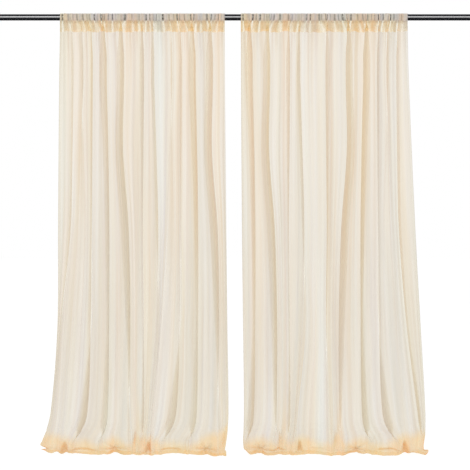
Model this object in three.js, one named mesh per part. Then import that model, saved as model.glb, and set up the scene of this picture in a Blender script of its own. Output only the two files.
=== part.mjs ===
import * as THREE from 'three';

// A pair of sheer rod-pocket curtains on one round rod, in millimetres with Z up.
// The origin is the middle of the rod's axis, X runs along the rod and the viewer stands towards -Y.
// A drop is a distance straight down from the rod's axis.

// Rod
const ROD_RADIUS = 14;
const ROD_LENGTH = 2400;
const ROD_CHAMFER = 1.5;
const ROD_SIDES = 24;

// Cloth, cut alike for both panels
const CLOTH_WIDTH = 1372;
const CLOTH_THICKNESS = 1.1;
const SEW_DROP = 65;
const FLOOR_DROP = 2005;

// Edges of each panel as it hangs: X at each drop
const EDGE_DROPS = [65, 298, 978, 1420, 1820, 1950];
const LEFT_PANEL_EDGES = {
  left: [-795, -799, -804, -807, -839, -874],
  right: [-37, -36, -30, -25, -20, -28],
};
const RIGHT_PANEL_EDGES = {
  left: [37, 38, 42, 47, 51, 47],
  right: [804, 810, 840, 864, 886, 884],
};

// Folds, counted inwards from a panel's outer edge. x is each fold's distance from the outer edge's
// top at each drop, lap is how far the cloth doubles back on itself there, below 0 where it only
// slopes, and depth is its share of the usual depth.
const FOLD_DROPS = [298, 978, 1420, 1820];
const FOLDS = {
  outerLeft: { x: [50, 38, -2, -34], lap: [12, 9, 10, 12], depth: 0.9 },
  outerRight: { x: [50, 38, 3, -50], lap: [12, 12, 10, 16], depth: 0.9 },
  second: { x: [97, 92, 69, 36], lap: [10, -30, -40, -40], depth: 0.8 },
  third: { x: [139, 139, 133, 97], lap: [12, 10, 10, 26], depth: 1.0 },
  fourth: { x: [192, 211, 214, 203], lap: [34, 18, 12, 28], depth: 1.1 },
  fifth: { x: [279, 302, 307, 312], lap: [36, 28, 14, -30], depth: 1.1 },
  sixth: { x: [371, 372, 377, 376], lap: [20, 12, 10, 22], depth: 1.0 },
  sixthRight: { x: [371, 372, 377, 370], lap: [22, 14, 10, -14], depth: 1.0 },
  seventh: { x: [419, 440, 447, 418], lap: [18, 14, 10, -26], depth: 0.9 },
};
const OUTER_EDGE_X = -795;
const SECOND_GROUP_SHIFT = 409;
const THIRD_GROUP_SHIFT = 672;
const MIRROR_X = 9.5;

// A fold seen from above: the cloth runs forward to a lip, turns back behind it and turns again at
// the hidden back. A closed fold's turns take TURN_SHARE of its half depth, an open fold's slope
// takes them into OPEN_TURN of its width, and a fold closes between the two laps given here.
const FOLD_HALF_DEPTHS = [11, 15, 18, 24];
const TURN_SHARE = 0.75;
const OPEN_TURN = 0.5;
const OPEN_LAP = -30;
const CLOSED_LAP = 10;
const OPEN_DEPTH = 0.55;
const LIP_ROUNDING = 5;
const TURN_ROUNDING = 8;
const BAND_ROUNDING = 20;
const BAND_BELLY = 0.5;

// At the pocket's seam the folds are open, shallower and near evenly spread
const SEAM_LAP = -24;
const SEAM_DEPTH = 0.6;
const SEAM_PLACE = 0.2;
const FOLDS_FULL_DROP = 290;

// Gathers, which are strongest at the rod pocket and come back as puckers at the foot
const GATHERS = 26;
const GATHER_DEPTH = 11;
const GATHER_FADE = 190;
const GATHER_REST = 0.12;
const FOOT_PUCKERS = 0.45;
const FOOT_START = 1790;
const FOOT_FULL = 1930;
const FOOT_LAP = -20;

// Columns of the cloth in half a band, round a turn and between a fold's turns, and how finely
// lengths are measured
const BAND_COLUMNS = [2, 1];
const TURN_COLUMNS = 2;
const WALL_COLUMNS = 2;
const FINENESS = 6;

// Rows of the hanging cloth below the pocket's seam
const BODY_DROPS = [65, 120, 160, 200, 245, 298, 620, 978, 1420, 1640, 1820, 1890];

// Rows of the cloth that breaks on the floor, from the last hanging row to the hem: height over the
// floor, how far it stands forward, and its share of the unevenness along the foot
const FOOT_ROWS = [
  { height: 62, forward: 44, uneven: 1 },
  { height: 25, forward: 2, uneven: 0.6 },
  { height: 0.5, forward: 52, uneven: 0 },
];
const FOOT_UNEVEN_HEIGHT = 9;
const FOOT_UNEVEN_FORWARD = 14;

// Rows of the rod pocket's front from its low part to its top: depth from the rod's axis, height
// over it, and how far the gathers stand off there. Its back is the same, mirrored.
const POCKET_ROWS = [
  { depth: 9, height: -38, ruffle: 13 },
  { depth: 15.7, height: -5.7, ruffle: 9 },
  { depth: 13.7, height: 9.6, ruffle: 5 },
];
const POCKET_TOP = { depth: 0, height: 16.7, ruffle: 1.5 };
const POCKET_SPREAD = 0.6;
const SEAM_RISE = 3;

const CLOTH = new THREE.MeshStandardMaterial({ color: 0xf2e2c8, roughness: 0.95, metalness: 0 });
const BLACK_METAL = new THREE.MeshStandardMaterial({ color: 0x16161a, roughness: 0.22, metalness: 0.7 });

function smoothStep(from, to, value) {
  const share = Math.min(Math.max((value - from) / (to - from), 0), 1);
  return share * share * (3 - 2 * share);
}

function mix(a, b, share) {
  return a + (b - a) * share;
}

// A smooth curve through the values that a table gives at its drops
function through(drops, values, drop) {
  const last = drops.length - 1;
  if (drop <= drops[0]) return values[0];
  if (drop >= drops[last]) return values[last];
  const i = drops.findIndex((d) => d > drop) - 1;
  const slope = (k) => {
    const a = Math.max(k - 1, 0);
    const b = Math.min(k + 1, last);
    return (values[b] - values[a]) / (drops[b] - drops[a]);
  };
  const span = drops[i + 1] - drops[i];
  const t = (drop - drops[i]) / span;
  const start = values[i] * (1 + 2 * t) * (1 - t) ** 2 + slope(i) * span * t * (1 - t) ** 2;
  const end = values[i + 1] * t * t * (3 - 2 * t) - slope(i + 1) * span * t * t * (1 - t);
  return start + end;
}

function placedFold(fold, shift) {
  return { x: fold.x.map((x) => x + OUTER_EDGE_X + shift), lap: fold.lap, depth: fold.depth, side: 1 };
}

function mirroredFold(fold) {
  const placed = placedFold(fold, 0);
  return { ...placed, x: placed.x.map((x) => 2 * MIRROR_X - x), side: -1 };
}

function leftPanel() {
  const { outerLeft, second, third, fourth, fifth, sixth, seventh } = FOLDS;
  const outer = [outerLeft, second, third, fourth, fifth, sixth, seventh];
  const inner = [second, third, fourth, fifth];
  const folds = [
    ...outer.map((fold) => placedFold(fold, 0)),
    ...inner.map((fold) => placedFold(fold, SECOND_GROUP_SHIFT)),
  ];
  return { edges: LEFT_PANEL_EDGES, folds, seed: 2.25 };
}

function rightPanel() {
  const { outerRight, second, third, fourth, fifth, sixth, sixthRight, seventh } = FOLDS;
  const inner = [fourth, fifth, sixth, seventh];
  const outer = [sixthRight, fifth, fourth, third, second, outerRight];
  const folds = [...inner.map((fold) => placedFold(fold, THIRD_GROUP_SHIFT)), ...outer.map(mirroredFold)];
  return { edges: RIGHT_PANEL_EDGES, folds, seed: 6.25 };
}

// The corners of the folds, as seen from above, at one drop. Each has the rounding of the line there,
// its share of the gathers and the columns that the cloth has from the corner before.
function foldCorners(panel, drop) {
  const foot = smoothStep(FOOT_START, FOOT_FULL, drop);
  const below = smoothStep(SEW_DROP, FOLDS_FULL_DROP, drop);
  const halfDepth = through(FOLD_DROPS, FOLD_HALF_DEPTHS, drop) * mix(SEAM_DEPTH, 1, below);
  const edge = (xs) => ({ x: through(EDGE_DROPS, xs, drop), y: 0, rounding: 0, gathered: 1 });
  const corners = [edge(panel.edges.left)];
  const addBand = (corner) => {
    const before = corners[corners.length - 1];
    const x = (before.x + corner.x) / 2;
    const y = (before.y + corner.y) / 2 + BAND_BELLY * halfDepth;
    corners.push({ x, y, rounding: BAND_ROUNDING, gathered: 1, columns: BAND_COLUMNS[0] });
    corners.push({ ...corner, columns: BAND_COLUMNS[1] });
  };
  for (const fold of panel.folds) {
    const x = through(FOLD_DROPS, fold.x, drop);
    const hanging = mix(SEAM_LAP, through(FOLD_DROPS, fold.lap, drop), below);
    const lap = mix(hanging, FOOT_LAP, foot);
    const closed = smoothStep(OPEN_LAP, CLOSED_LAP, lap);
    const half = fold.depth * halfDepth * mix(OPEN_DEPTH, 1, closed);
    const reach = (fold.side * lap) / 2;
    const inset = 1 - OPEN_TURN * (1 - closed);
    const turned = half * inset * (1 - TURN_SHARE * closed);
    const gathered = (1 - below) ** 3;
    const line = [
      { x: x + reach, y: -half, rounding: LIP_ROUNDING, gathered },
      { x: x + inset * reach, y: -turned, rounding: LIP_ROUNDING, gathered },
      { x: x - inset * reach, y: turned, rounding: TURN_ROUNDING, gathered },
      { x: x - reach, y: half, rounding: TURN_ROUNDING, gathered },
    ];
    if (fold.side < 0) line.reverse();
    addBand(line[0]);
    corners.push({ ...line[1], columns: TURN_COLUMNS });
    corners.push({ ...line[2], columns: WALL_COLUMNS });
    corners.push({ ...line[3], columns: TURN_COLUMNS });
  }
  addBand(edge(panel.edges.right));
  return corners;
}

// The point at a length along a line of corners
function pointAlong(corners, lengths, at) {
  const next = lengths.findIndex((length) => length > at);
  const i = next < 0 ? corners.length - 2 : Math.max(next - 1, 0);
  const share = Math.min(Math.max((at - lengths[i]) / (lengths[i + 1] - lengths[i]), 0), 1);
  return [mix(corners[i].x, corners[i + 1].x, share), mix(corners[i].y, corners[i + 1].y, share)];
}

// The line of corners, rounded, as columns that follow each band and turn
function roundedColumns(corners) {
  const lengths = [0];
  for (let i = 1; i < corners.length; i += 1) {
    const [a, b] = [corners[i - 1], corners[i]];
    lengths.push(lengths[i - 1] + Math.hypot(b.x - a.x, b.y - a.y));
  }
  const total = lengths[lengths.length - 1];
  const places = [{ at: 0, rounding: 0, gathered: corners[0].gathered }];
  for (let i = 1; i < corners.length; i += 1) {
    const [a, b] = [corners[i - 1], corners[i]];
    const steps = b.columns * FINENESS;
    for (let k = 1; k <= steps; k += 1) {
      const share = k / steps;
      places.push({
        at: mix(lengths[i - 1], lengths[i], share),
        rounding: mix(a.rounding, b.rounding, share),
        gathered: mix(a.gathered, b.gathered, share),
      });
    }
  }
  const spread = [-1, -0.75, -0.5, -0.25, 0, 0.25, 0.5, 0.75, 1];
  return places.map(({ at, rounding, gathered }) => {
    const reach = Math.min(rounding, at, total - at);
    const near = spread.map((share) => pointAlong(corners, lengths, at + share * reach));
    const [x, y] = [0, 1].map((axis) => near.reduce((sum, point) => sum + point[axis], 0) / near.length);
    return { x, y, gathered };
  });
}

// The gathers' wave at a share of the cloth's width: -1 stands towards the viewer, 1 away
function gatherPhase(share, seed) {
  const drift = 0.9 * Math.sin(19 * share + seed) + 0.6 * Math.sin(47 * share + 2 * seed);
  return 2 * Math.PI * GATHERS * share + drift;
}

function gatherWave(share, seed) {
  const size = 0.82 + 0.18 * Math.sin(31 * share + 3 * seed);
  return size * Math.sin(gatherPhase(share, seed));
}

function gatherWeight(drop) {
  const fading = GATHER_REST + (1 - GATHER_REST) * Math.exp((SEW_DROP - drop) / GATHER_FADE);
  return mix(fading, FOOT_PUCKERS, smoothStep(FOOT_START, FOOT_FULL, drop));
}

function lineLength(points) {
  let length = 0;
  for (let i = 1; i < points.length; i += 1) {
    length += Math.hypot(points[i][0] - points[i - 1][0], points[i][1] - points[i - 1][1]);
  }
  return length;
}

// The cloth seen from above at one drop, deepened until it takes up the cloth's whole width
function planCurve(panel, drop) {
  const folded = roundedColumns(foldCorners(panel, drop));
  const left = through(EDGE_DROPS, panel.edges.left, drop);
  const right = through(EDGE_DROPS, panel.edges.right, drop);
  const place = mix(SEAM_PLACE, 1, smoothStep(SEW_DROP, FOLDS_FULL_DROP, drop));
  const gathering = gatherWeight(drop);
  const flat = folded.map((point, i) => {
    const share = i / (folded.length - 1);
    const wave = GATHER_DEPTH * gathering * point.gathered * gatherWave(share, panel.seed);
    return [mix(mix(left, right, share), point.x, place), point.y + wave];
  });
  let low = 0.2;
  let high = 6;
  for (let i = 0; i < 24; i += 1) {
    const deep = (low + high) / 2;
    if (lineLength(flat.map(([x, y]) => [x, y * deep])) < CLOTH_WIDTH) low = deep;
    else high = deep;
  }
  return flat.map(([x, y]) => [x, y * low]);
}

function everyColumn(points) {
  return points.filter((_, i) => i % FINENESS === 0);
}

// Rows of the sheet's middle surface from the pocket's seam down to the hem
function bodyRows(panel) {
  const rows = BODY_DROPS.map((drop) => {
    return everyColumn(planCurve(panel, drop)).map(([x, y]) => new THREE.Vector3(x, y, -drop));
  });
  const foot = everyColumn(planCurve(panel, FOOT_FULL));
  for (const row of FOOT_ROWS) {
    rows.push(foot.map(([x, y]) => {
      const uneven = Math.sin(x / 37 + panel.seed) * 0.6 + Math.sin(x / 91) * 0.4;
      const height = row.height + row.uneven * FOOT_UNEVEN_HEIGHT * uneven;
      const forward = row.forward + row.uneven * FOOT_UNEVEN_FORWARD * uneven;
      return new THREE.Vector3(x, y - forward, height - FLOOR_DROP);
    }));
  }
  return rows;
}

// Rows of the rod pocket from its low front over the rod to its low back
function pocketRows(panel, seam) {
  const left = panel.edges.left[0];
  const right = panel.edges.right[0];
  const front = POCKET_ROWS.map((row) => ({ ...row, side: -1 }));
  const back = POCKET_ROWS.map((row) => ({ ...row, side: 1 })).reverse();
  return [...front, { ...POCKET_TOP, side: -1 }, ...back].map((row) => {
    const lift = (row.height + SEW_DROP) / SEW_DROP;
    return seam.map((point, i) => {
      const share = i / (seam.length - 1);
      const stands = (1 + row.side * gatherWave(share, panel.seed)) / 2;
      const away = new THREE.Vector2(row.side * row.depth, Math.max(row.height, 0)).normalize();
      const even = mix(left, right, share);
      const x = mix(point.x, even, POCKET_SPREAD * Math.min(lift, 1));
      const y = row.side * row.depth + away.x * row.ruffle * stands;
      const z = row.height + away.y * row.ruffle * stands;
      return new THREE.Vector3(x, y, z);
    });
  });
}

// The middle of the directions from one point to the next and from that to the third
function directionThrough(before, here, after) {
  const first = new THREE.Vector3().subVectors(here, before).normalize();
  const second = new THREE.Vector3().subVectors(after, here).normalize();
  return first.add(second);
}

// Directions square to a grid of points, towards the viewer where the rows run downwards
function gridNormals(rows) {
  return rows.map((row, r) => row.map((here, c) => {
    const above = rows[Math.max(r - 1, 0)][c];
    const below = rows[Math.min(r + 1, rows.length - 1)][c];
    const before = row[Math.max(c - 1, 0)];
    const after = row[Math.min(c + 1, row.length - 1)];
    const down = directionThrough(above, here, below);
    const along = directionThrough(before, here, after);
    return down.cross(along).normalize();
  }));
}

function offsetRows(rows, normals, distance) {
  return rows.map((row, r) => row.map((point, c) => point.clone().addScaledVector(normals[r][c], distance)));
}

// One closed solid: the sheet with its pocket, which is open at both ends for the rod
function panelGeometry(panel) {
  const body = bodyRows(panel);
  const bodyNormals = gridNormals(body);
  const seam = body[0];
  const pocket = pocketRows(panel, seam);
  const pocketNormals = gridNormals([seam, ...pocket, seam]).slice(1, -1);
  const half = CLOTH_THICKNESS / 2;
  const front = offsetRows(body, bodyNormals, half);
  const back = offsetRows(body, bodyNormals, -half);
  front[0] = front[0].map((point, c) => point.addScaledVector(bodyNormals[0][c], half));
  back[0] = back[0].map((point, c) => point.addScaledVector(bodyNormals[0][c], -half));
  const outside = offsetRows(pocket, pocketNormals, -half);
  const inside = offsetRows(pocket, pocketNormals, half);
  const crotch = seam.map((point) => new THREE.Vector3(point.x, point.y, point.z + SEAM_RISE));

  const skin = [...[...front].reverse(), ...outside, ...back];
  const lining = [crotch, ...inside];
  const columns = seam.length;
  const positions = [...skin, ...lining].flat().flatMap((point) => point.toArray());
  const at = (row, column) => row * columns + column;
  const index = [];
  const quad = (a, b, c, d) => index.push(a, b, c, a, c, d);

  const backFirst = front.length + outside.length;
  for (let r = 0; r < skin.length; r += 1) {
    const next = (r + 1) % skin.length;
    for (let c = 0; c + 1 < columns; c += 1) {
      const corners = [at(r, c), at(r, c + 1), at(next, c + 1), at(next, c)];
      if (r < backFirst) quad(...corners);
      else quad(...corners.slice(1), corners[0]);
    }
  }
  for (let r = 0; r < lining.length; r += 1) {
    const here = skin.length + r;
    const next = skin.length + ((r + 1) % lining.length);
    for (let c = 0; c + 1 < columns; c += 1) {
      quad(at(here, c), at(next, c), at(next, c + 1), at(here, c + 1));
    }
  }

  const skinRows = skin.length;
  const seamFront = front.length - 1;
  const seamBack = seamFront + outside.length + 1;
  for (const [column, flip] of [[0, false], [columns - 1, true]]) {
    const face = (...corners) => {
      const ordered = flip ? corners.reverse() : corners;
      for (let k = 1; k + 1 < ordered.length; k += 1) {
        index.push(at(ordered[0], column), at(ordered[k], column), at(ordered[k + 1], column));
      }
    };
    for (let k = 0; k < seamFront; k += 1) {
      face(k, k + 1, skinRows - 2 - k, skinRows - 1 - k);
    }
    face(seamFront, skinRows, seamBack);
    for (let k = 0; k <= outside.length; k += 1) {
      const inner = skinRows + k;
      const innerNext = skinRows + ((k + 1) % lining.length);
      face(seamFront + k, seamFront + k + 1, innerNext, inner);
    }
  }

  const geometry = new THREE.BufferGeometry();
  geometry.setAttribute('position', new THREE.Float32BufferAttribute(positions, 3));
  geometry.setIndex(index);
  return geometry;
}

function rodGeometry() {
  const half = ROD_LENGTH / 2;
  const profile = [
    new THREE.Vector2(0, -half),
    new THREE.Vector2(ROD_RADIUS - ROD_CHAMFER, -half),
    new THREE.Vector2(ROD_RADIUS, -half + ROD_CHAMFER),
    new THREE.Vector2(ROD_RADIUS, half - ROD_CHAMFER),
    new THREE.Vector2(ROD_RADIUS - ROD_CHAMFER, half),
    new THREE.Vector2(0, half),
  ];
  return new THREE.LatheGeometry(profile, ROD_SIDES);
}

function named(name, geometry, material) {
  const mesh = new THREE.Mesh(geometry, material);
  mesh.name = name;
  return mesh;
}

const curtains = new THREE.Group();
curtains.add(named('curtain_left', panelGeometry(leftPanel()), CLOTH));
curtains.add(named('curtain_right', panelGeometry(rightPanel()), CLOTH));

const rod = named('rod', rodGeometry(), BLACK_METAL);
rod.rotation.z = -Math.PI / 2;
curtains.add(rod);

export default curtains;
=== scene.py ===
"""A pair of sheer rod-pocket curtains on one round rod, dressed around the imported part."""

import math

import bpy
import numpy as np
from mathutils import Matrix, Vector


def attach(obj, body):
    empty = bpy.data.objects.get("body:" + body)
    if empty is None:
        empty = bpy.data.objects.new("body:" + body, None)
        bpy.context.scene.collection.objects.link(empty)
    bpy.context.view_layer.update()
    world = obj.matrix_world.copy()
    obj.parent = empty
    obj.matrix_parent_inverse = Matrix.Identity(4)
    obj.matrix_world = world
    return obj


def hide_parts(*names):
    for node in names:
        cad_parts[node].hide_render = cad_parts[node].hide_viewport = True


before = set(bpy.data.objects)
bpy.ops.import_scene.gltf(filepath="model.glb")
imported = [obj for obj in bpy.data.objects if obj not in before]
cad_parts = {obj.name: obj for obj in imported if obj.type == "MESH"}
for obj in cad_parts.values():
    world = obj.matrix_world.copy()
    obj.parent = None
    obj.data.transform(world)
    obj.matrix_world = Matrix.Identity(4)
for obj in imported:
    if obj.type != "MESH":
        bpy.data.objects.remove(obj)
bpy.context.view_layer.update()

MM = 0.001
TINY = 1e-9
WHITE = (1, 1, 1, 1)

# Sizes in millimetres, as in the part's source. A drop is a distance down from the rod's axis.
ROD_RADIUS = 14
ROD_LENGTH = 2400
ROD_WALL = 1.2
CLOTH_WIDTH = 1372
SEW_DROP = 65
FLOOR_DROP = 2005
FOLD_DROPS = [298, 610, 978, 1420, 1820, 1960]
EDGE_DROPS = [65, 298, 978, 1420, 1820, 1950]
OUTER_EDGE_X = -795
LIP_SHIFT = 6
SECOND_GROUP_SHIFT = 409
THIRD_GROUP_SHIFT = 672
MIRROR_X = 9.5

# Each fold's distance from the outer edge's top and how far the cloth laps over itself there, at
# FOLD_DROPS, and its share of the usual depth. A lap under 0 is a fold that stays open.
FOLDS = {
    "outer_left": {"x": [50, 46, 38, -2, -34, -60], "lap": [12, 11, 9, -6, -20, -24], "depth": 0.9},
    "outer_right": {"x": [50, 46, 38, 3, -50, -66], "lap": [12, 13, 12, 10, 16, 14], "depth": 0.9},
    "second": {"x": [97, 96, 92, 69, 36, 12], "lap": [10, -10, -30, -40, -40, -30], "depth": 0.8},
    "third": {"x": [139, 139, 139, 135, 100, 58], "lap": [12, 8, 2, 0, 38, 30], "depth": 1.0},
    "fourth": {"x": [192, 203, 211, 213, 199, 180], "lap": [34, 26, 20, 14, 30, 30], "depth": 1.1},
    "fifth": {"x": [272, 266, 292, 307, 312, 316], "lap": [34, 36, 36, 20, -8, -20], "depth": 1.1},
    "fifth_right": {"x": [272, 266, 292, 307, 312, 316], "lap": [34, 36, 36, 28, 12, -10], "depth": 1.1},
    "sixth": {"x": [371, 371, 372, 377, 374, 366], "lap": [20, 14, 6, 4, 15, 15], "depth": 1.0},
    "sixth_right": {"x": [371, 371, 372, 377, 370, 366], "lap": [22, 16, 8, 4, -14, -10], "depth": 1.0},
    "seventh": {"x": [419, 430, 440, 443, 410, 398], "lap": [18, 15, 12, -12, -8, -4], "depth": 0.7},
}
FOLD_HALF_DEPTHS = [11, 13, 15, 18, 24, 20]
TURN_SHARE = 0.75
OPEN_TURN = 0.5
OPEN_LAP = -30
CLOSED_LAP = 10
OPEN_DEPTH = 0.55
LIP_ROUNDING = 5
TURN_ROUNDING = 8
BAND_ROUNDING = 20
BAND_BELLY = 0.5
SEAM_FOLDED = 0.75
SEAM_DEPTH = 0.6
SEAM_PLACE = 0.85
FOLDS_FULL_DROP = 190
FOOT_START = 1860
FOOT_FULL = 1975
FOOT_LAP = -20

# Share of a flat layer's cover along a fold: it builds up towards the lip and thins out in the tuck
BAND_SHADE = 0.96
OPEN_LIP_SHADE = 1.06
LIP_SHADE = [1.05, 0.78]
WALL_SHADE = [0.4, 0.34]
TUCK_SHADE = [0.2, 0.1]
BEHIND_LIP_SHADE = [0.85, 1.0]
SHADE_DROPS = [900, 1700]
SINGLE_LAP = -9
DOUBLE_LAP = 6
NARROW_SHADE = 0.3
WIDE_LAP = 24
BEHIND_LIP = 3

# Columns of the cloth in half a band and between a fold's corners
BAND_COLUMNS = [13, 8]
FOLD_COLUMNS = [8, 7, 8, 6]
ROUNDING_SHARES = np.linspace(-1, 1, 9)

# How deep the plan is made at the least and the most, and how often the span between is halved
LEAST_DEPTH = 0.2
MOST_DEPTH = 6.0
DEPTH_HALVINGS = 24

# Gathers and ripples across the cloth. Each wave has its size, its radians for each unit of place
# and how many seeds it is shifted by.
GATHERS = 26
GATHER_DEPTH = 11
GATHER_FADE = 190
GATHER_REST = 0.12
GATHER_SIZE = 0.82
GATHER_UNEVEN = [(0.18, 31, 3)]
GATHER_DRIFT = [(1.2, 19, 1), (0.9, 61, 2)]
GATHER_LEANING = [(1, 83, 1)]
FOOT_PUCKERS = 0.45
RIPPLES = 57
RIPPLE_DEPTH = 0.9
RIPPLE_SIZE = 0.6
RIPPLE_UNEVEN = [(0.4, 23, 1)]
RIPPLE_PATCH = 410
RIPPLE_DRIFT = [(1.7, 29, 1)]
RIPPLE_SWAY = 0.5
RIPPLE_SWAY_DROP = 530
FINER_RIPPLES = 2.3 * RIPPLES
FINER_SIZE = 0.4
FINER_DRIFT = [(2.1, 17, -1)]
FINER_DRIFT_DROP = 900

# How far each hem is turned back behind the cloth's edge, in steps, and its distance from the cloth
SIDE_HEM = [0.5, 3, 8, 13]
FOOT_HEM = [0.5, 3, 8, 14, 20]
HEM_GAP = 1.2
SIDE_HEM_SHADE = 0.15
FOOT_HEM_SHADE = 0.4

# The sewing: how far in from each edge it runs, one stitch's pitch, length and thread, and how far
# the thread stands off the cloth
SIDE_SEAM = 10
FOOT_SEAM = 17
STITCH_PITCH = 4
STITCH_LENGTH = 2.9
THREAD_RADIUS = 0.22
THREAD_LIFT = 0.25

# Rows of the hanging cloth, closest where it gathers and where it breaks on the floor
FIRST_DROP = SEW_DROP + 1.2
CLOSE_ROWS = 9.0
WIDE_ROWS = 37.0
BODY_DROPS = np.concatenate([
    [FIRST_DROP],
    np.arange(70, 300, CLOSE_ROWS),
    np.arange(300, 1790, WIDE_ROWS),
    np.arange(1790, 1895, CLOSE_ROWS),
])

# The foot's outline from the side, where it breaks plainly and where it tucks under itself: how far
# the cloth stands forward at each height over the floor, from the last hanging row to the hem
FOOT_ROWS = 42
FOOT_SHARES = [0, 0.14, 0.28, 0.4, 0.5, 0.6, 0.7, 0.8, 0.9, 1]
PLAIN_HEIGHTS = [110, 86, 64, 46, 33, 25, 18, 11, 5, 1]
PLAIN_FORWARD = [0, 13, 24, 30, 31, 29, 29, 31, 35, 41]
TUCK_HEIGHTS = [110, 86, 63, 42, 28, 22, 19, 13, 6, 1]
TUCK_FORWARD = [0, 20, 36, 43, 38, 26, 18, 20, 30, 41]
TUCKED = 0.5
TUCK_WAVES = [(0.45, 1 / 61, 1), (0.3, 1 / 27, 2)]
MOST_TUCKED = 1.1
RISE_WAVES = [(5, 1 / 47, 3), (1.2, 1 / 19, 1)]
SPREAD_WAVES = [(7, 1 / 53, 1), (4, 1 / 21, 4)]
FLATTENED = 0.3
LOWEST = 0.7
EDGE_WIDTH = 26

# Between which shares of the foot's rows each of its forms sets in
FOLDS_SETTLE_BY = 0.35
SPREAD_FROM = (0.2, 1)
HEM_LIFTS_FROM = (0.66, 1)
CRUMPLES_FROM = (0.1, 0.5)
DENTS_FROM = (0, 0.12)
FLATTENS_FROM = (0.1, 0.9)

# Crumples: how many, how deep, their lengths, how much they lean and their least strength
CRUMPLES = 14
CRUMPLE_DEPTH = 1.3
CRUMPLE_LENGTHS = (17, 52)
CRUMPLE_LEAN = 0.6
CRUMPLE_SHIFT = 6.3
LEAST_CRUMPLE = 0.4

# A star of creases, its rays and the pit in its middle. A bump has its size, its place from the
# middle and its width.
STAR_HEIGHT = 25
STAR_STRETCH = 1.25
STAR_BOTTOM = (4, 14)
STAR_RAYS = 7
RAY_DEPTH = 9
RAY_START = 26
RAY_REACH = 40
STAR_PIT = 20
STAR_PIT_WIDTH = 13
STAR_FOLDS = [(9, 32, 16), (-20, 0, 14)]
STAR_TUCKED = 0.6
STAR_TUCK_WIDTH = 40

# An upright slit, which leans, and a hollow, which is wider below
SLIT_HEIGHT = 66
SLIT_TALL = 42
SLIT_LEAN = 0.12
SLIT_BUMPS = [(13, 17, 10), (9, -16, 9), (-24, 0, 7)]
HOLLOW_TOP = (66, 30)
HOLLOW_BOTTOM = (4, 16)
HOLLOW_WIDTH = 6
HOLLOW_FLARE = 0.12
HOLLOW_FLARE_TOP = 48
HOLLOW_BUMPS = [(12, -24, 14), (8, 22, 11)]
HOLLOW_PIT = 30

# The shades of stars, slits, hollows and long level creases: how deep, how wide and how tall
STAR_DARK = (14, 8)
RAYS_SHADE = 0.85
RAYS_DARK = (44, 24)
SLIT_SHADE = 0.5
SLIT_DARK = (6, 28)
HOLLOW_DARK_WIDTHS = (5, 13)
HOLLOW_DARK_FLARE = (60, 20)
HOLLOW_DARK_TOP = (72, 50)
HOLLOW_DARK_BOTTOM = (8, 18)
LINE_SHADE = 0.95
LINE_HEIGHT = 24
LINE_WIDTH = 5
LINE_SWING = 4
LINE_SWING_LENGTH = 38

# The rod pocket from its seam over the rod and back to its seam: depth from the rod's axis, height
# over it and how far the gathers stand off
POCKET_DEPTHS = [0, 9, 15.7, 13.7, 0]
POCKET_HEIGHTS = [-65, -38, -5.7, 9.6, 16.7]
POCKET_RUFFLES = [0, 13, 9, 5, 1.5]
POCKET_STEPS = 5
POCKET_SPREAD = 0.7
POCKET_SEAM_GAP = 0.4
GATHER_LEAN = 0.25
FINE_GATHERS = 1.9

# Where the heading ends and the cloth over the rod starts, and the pocket's shades in each of them
HEADING_BELOW = -25
HEADING_ABOVE = -14
EVEN_SHADE = 0.7
GATHER_SHADE = (0.55, 0.3)
RIPPLE_SHADE = (0.3, 0.5)
FINE_SHADE = 0.85
LEAST_SHADE = (0.35, 0.04)

# Where the photograph was taken from. Folds that stand forward are set in by what that view spreads
# them, so that they show where the photograph has them.
CAMERA_X = 10
CAMERA_HEIGHT = -1001
CAMERA_DISTANCE = 3700
VIEW_WIDTH = 2162

# How much light one flat layer stops in each zone of the cloth, and where each zone sets in
SHEER_BASE = 0.43
LOW_BASE = 0.48
LOW_FROM = (-600, -1800)
HEADING_BASE = 0.32
HEADING_TOP_BASE = 0.38
HEADING_RISE = (-52, -30)
ROD_BASE = 0.9
ROD_TOP_BASE = 0.98
ROD_RISE = (0, 15)
FOOT_BASE = 0.545
FOOT_FADE = (32, -16)

# How fast a slope stops more light, the steepest one and the most layers that count, the layers from
# which the heading's deep tone sets in, and how much the painted shade of creases and pits adds
SLOPE_GAIN = 1.8
STEEPEST = 0.1
MOST_LAYERS = 1.47
LOW_LAYERS = 1.2
DEEP_LAYERS = (0.5, 1.6)
CREASE_SHADE_LAYERS = 0.9
PIT_SHADE_SHARE = 0.22
PIT_DEPTHS = (0.5, 6)
PIT_PASSES = 30

# How high the warm, doubled look of the foot reaches, with its painted warm bounce light, and the
# warm streak beside a slit
WARM_REACH = 41
WARM_WAVES = [(4, 1 / 23, 0), (6, 1 / 57, 1)]
WARM_OVER = {"stars": (26, 8, 58), "slits": (40, 16, 16), "hollows": (22, 0, 46)}
WARM_CORNER_WIDTH = 80
BESIDE_SLIT = [(0.55, 20, 13)]
BESIDE_SLIT_TOP = (330, 60)

# The cloth's tones, the pale lines between folds, and how far its streaks are calmed in the pocket
# and the foot
BODY_TONE = np.array([0.84, 0.71, 0.64])
LOW_TONE = np.array([0.775, 0.68, 0.655])
HEADING_LIGHT = np.array([1.0, 0.8, 0.56])
HEADING_DEEP = np.array([0.98, 0.74, 0.5])
ROD_TONE = np.array([0.99, 0.92, 0.81])
# Painted warm bounce light: the foot's peach tone, partly its doubled cloth and partly light from the
# floor
FOOT_TONE_AND_BOUNCE = np.array([0.99, 0.69, 0.35])
# Painted shade: the deep orange that darkens the foot's creases, pits, stars, slits and hollows
CREASE_SHADE_TONE = np.array([0.98, 0.59, 0.25])
PALE_TONE = np.array([0.81, 0.78, 0.8])
PALE_SHARE = 0.7
PALE_WIDTH = 34
PALE_DROPS = [196, 564, 978, 1484, 1668, 1898]
PALE_FOOT_SHARE = 0.5
PALE_FOOT_WIDTH = 22
PALE_FOOT_FROM = (-1640, -1800)
CALMED = 0.7


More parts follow.
